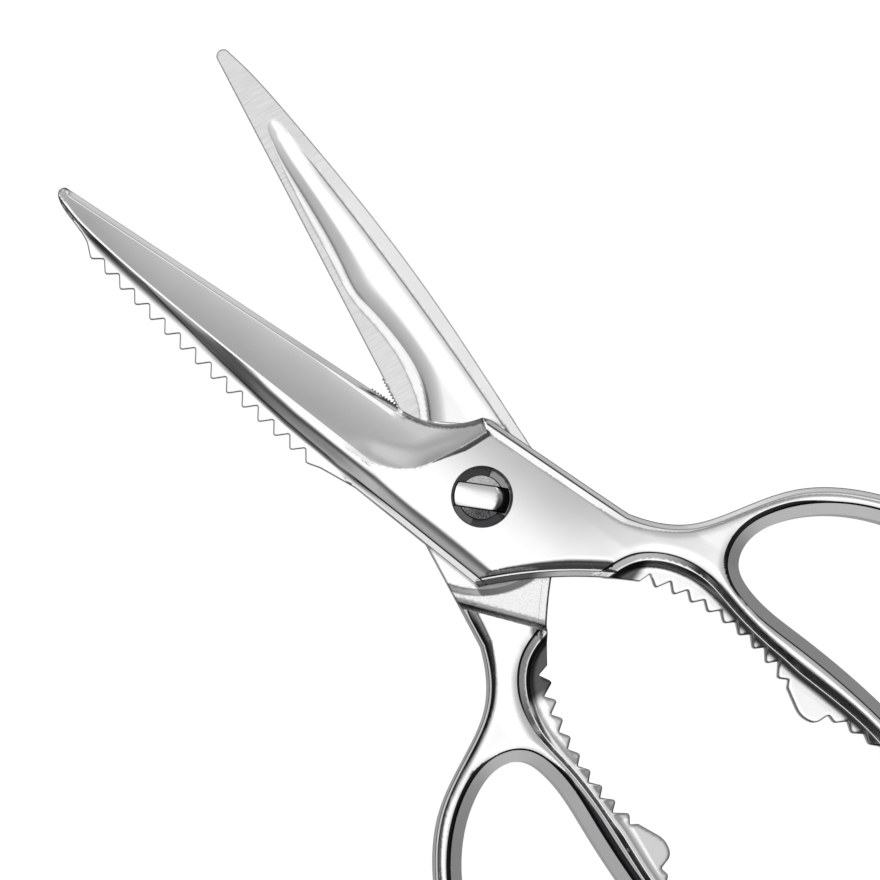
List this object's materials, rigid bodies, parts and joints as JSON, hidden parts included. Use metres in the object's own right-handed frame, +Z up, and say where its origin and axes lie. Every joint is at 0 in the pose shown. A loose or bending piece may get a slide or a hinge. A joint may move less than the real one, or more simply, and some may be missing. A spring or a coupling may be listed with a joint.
{
  "type": "poultry shears",
  "caption": "All-steel take-apart poultry shears with a scaling spine, toothed jaw flanges between the handles and closed finger bows.",
  "frame": {"origin": "on the pivot axis, at the flat outer face of the back half's boss, on which the shears lie", "axes": "+X along the centre line towards the blade tips, +Z up along the pivot axis, +Y towards the front half's blade, the one with the scaling teeth"},
  "size_m": [0.1992, 0.1272, 0.0089],
  "materials": {
    "front_forging": "satin ground blade, polished boss and bow",
    "back_forging": "fine ground inner face, polished boss and bow",
    "stud": "polished domed head"
  },
  "bodies": {
    "back": {"back_half": "back_forging", "pivot_stud": "stud"},
    "front": {"front_half": "front_forging"}
  },
  "joints": [
    {"name": "blade_pivot", "type": "hinge", "parent": "back", "child": "front", "pos_m": [0, 0, 0.0045], "axis": [0, 0, 1], "range_deg": [-24, 66]}
  ]
}
